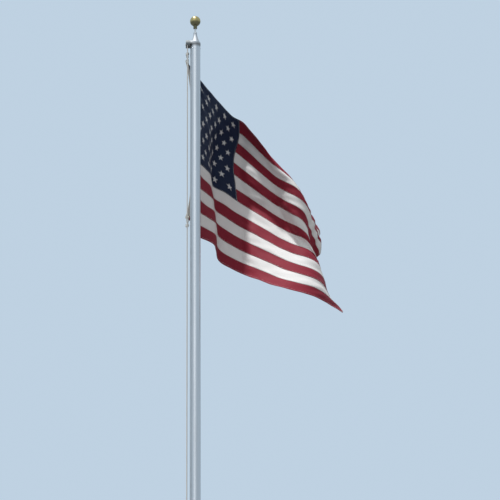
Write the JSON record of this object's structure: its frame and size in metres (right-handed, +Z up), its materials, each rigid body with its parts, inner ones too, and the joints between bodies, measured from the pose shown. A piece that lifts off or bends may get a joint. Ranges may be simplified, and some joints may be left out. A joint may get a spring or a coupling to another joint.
{
  "type": "flagpole with flag",
  "caption": "Straight sectional aluminium flagpole with ball, truck, outside halyard, cleat and a sewn stars and stripes flag on snap hooks.",
  "frame": {"origin": "centre of the pole's foot, on the face that is held at ground level", "axes": "+Z up the pole, +X the way that the flag flies, -Y towards the picture's camera"},
  "size_m": [1.1946, 0.9812, 7.8522],
  "materials": {
    "pole_tube": "satin, brushed",
    "spun_aluminium": "spun",
    "cast_aluminium": "sand cast",
    "sheave_nylon": "dull",
    "stainless": "turned",
    "gold_ball": "gold anodised",
    "halyard_rope": "braided",
    "brass": "rolled",
    "snap_metal": "nickel plated",
    "canvas": "woven duck",
    "blue_nylon": "dyed nylon",
    "red_nylon": "dyed nylon",
    "white_nylon": "dyed nylon"
  },
  "bodies": {
    "pole": {"pole_lower_section": "pole_tube", "pole_upper_section": "pole_tube", "joint_sleeve": "pole_tube", "butt_plate": "pole_tube", "flash_collar": "spun_aluminium", "cleat": "cast_aluminium", "halyard_hitch": "halyard_rope", "halyard_front_strand": "halyard_rope", "halyard_back_strand": "halyard_rope", "halyard_bend": "halyard_rope", "truck": "cast_aluminium", "sheave_pin": "stainless", "finial_spindle": "stainless", "spindle_nut": "stainless", "ball_neck": "gold_ball", "ball_lower_half": "gold_ball", "ball_upper_half": "gold_ball"},
    "sheave": {"sheave": "sheave_nylon"},
    "flag": {"upper_knot": "halyard_rope", "upper_snap_eye": "snap_metal", "upper_snap_hook": "snap_metal", "upper_snap_gate": "snap_metal", "upper_grommet": "brass", "lower_knot": "halyard_rope", "lower_snap_eye": "snap_metal", "lower_snap_hook": "snap_metal", "lower_snap_gate": "snap_metal", "lower_grommet": "brass", "flag_heading": "canvas", "flag_canton": "blue_nylon", "flag_stripe_01": "red_nylon", "flag_stripe_02": "white_nylon", "flag_stripe_03": "red_nylon", "flag_stripe_04": "white_nylon", "flag_stripe_05": "red_nylon", "flag_stripe_06": "white_nylon", "flag_stripe_07": "red_nylon", "flag_stripe_08": "white_nylon", "flag_stripe_09": "red_nylon", "flag_stripe_10": "white_nylon", "flag_stripe_11": "red_nylon", "flag_stripe_12": "white_nylon", "flag_stripe_13": "red_nylon"}
  },
  "joints": [
    {"name": "flag_hoist", "type": "slide", "parent": "pole", "child": "flag", "axis": [0, 0, 1], "range_m": [-4.75, 0]},
    {"name": "sheave_spin", "type": "hinge", "parent": "pole", "child": "sheave", "pos_m": [-0.056, 0, 7.626], "axis": [1, 0, 0], "continuous": true}
  ],
  "couplings": [
    {"joint": "sheave_spin", "follows": "flag_hoist", "rad_per_m": 44.643}
  ]
}
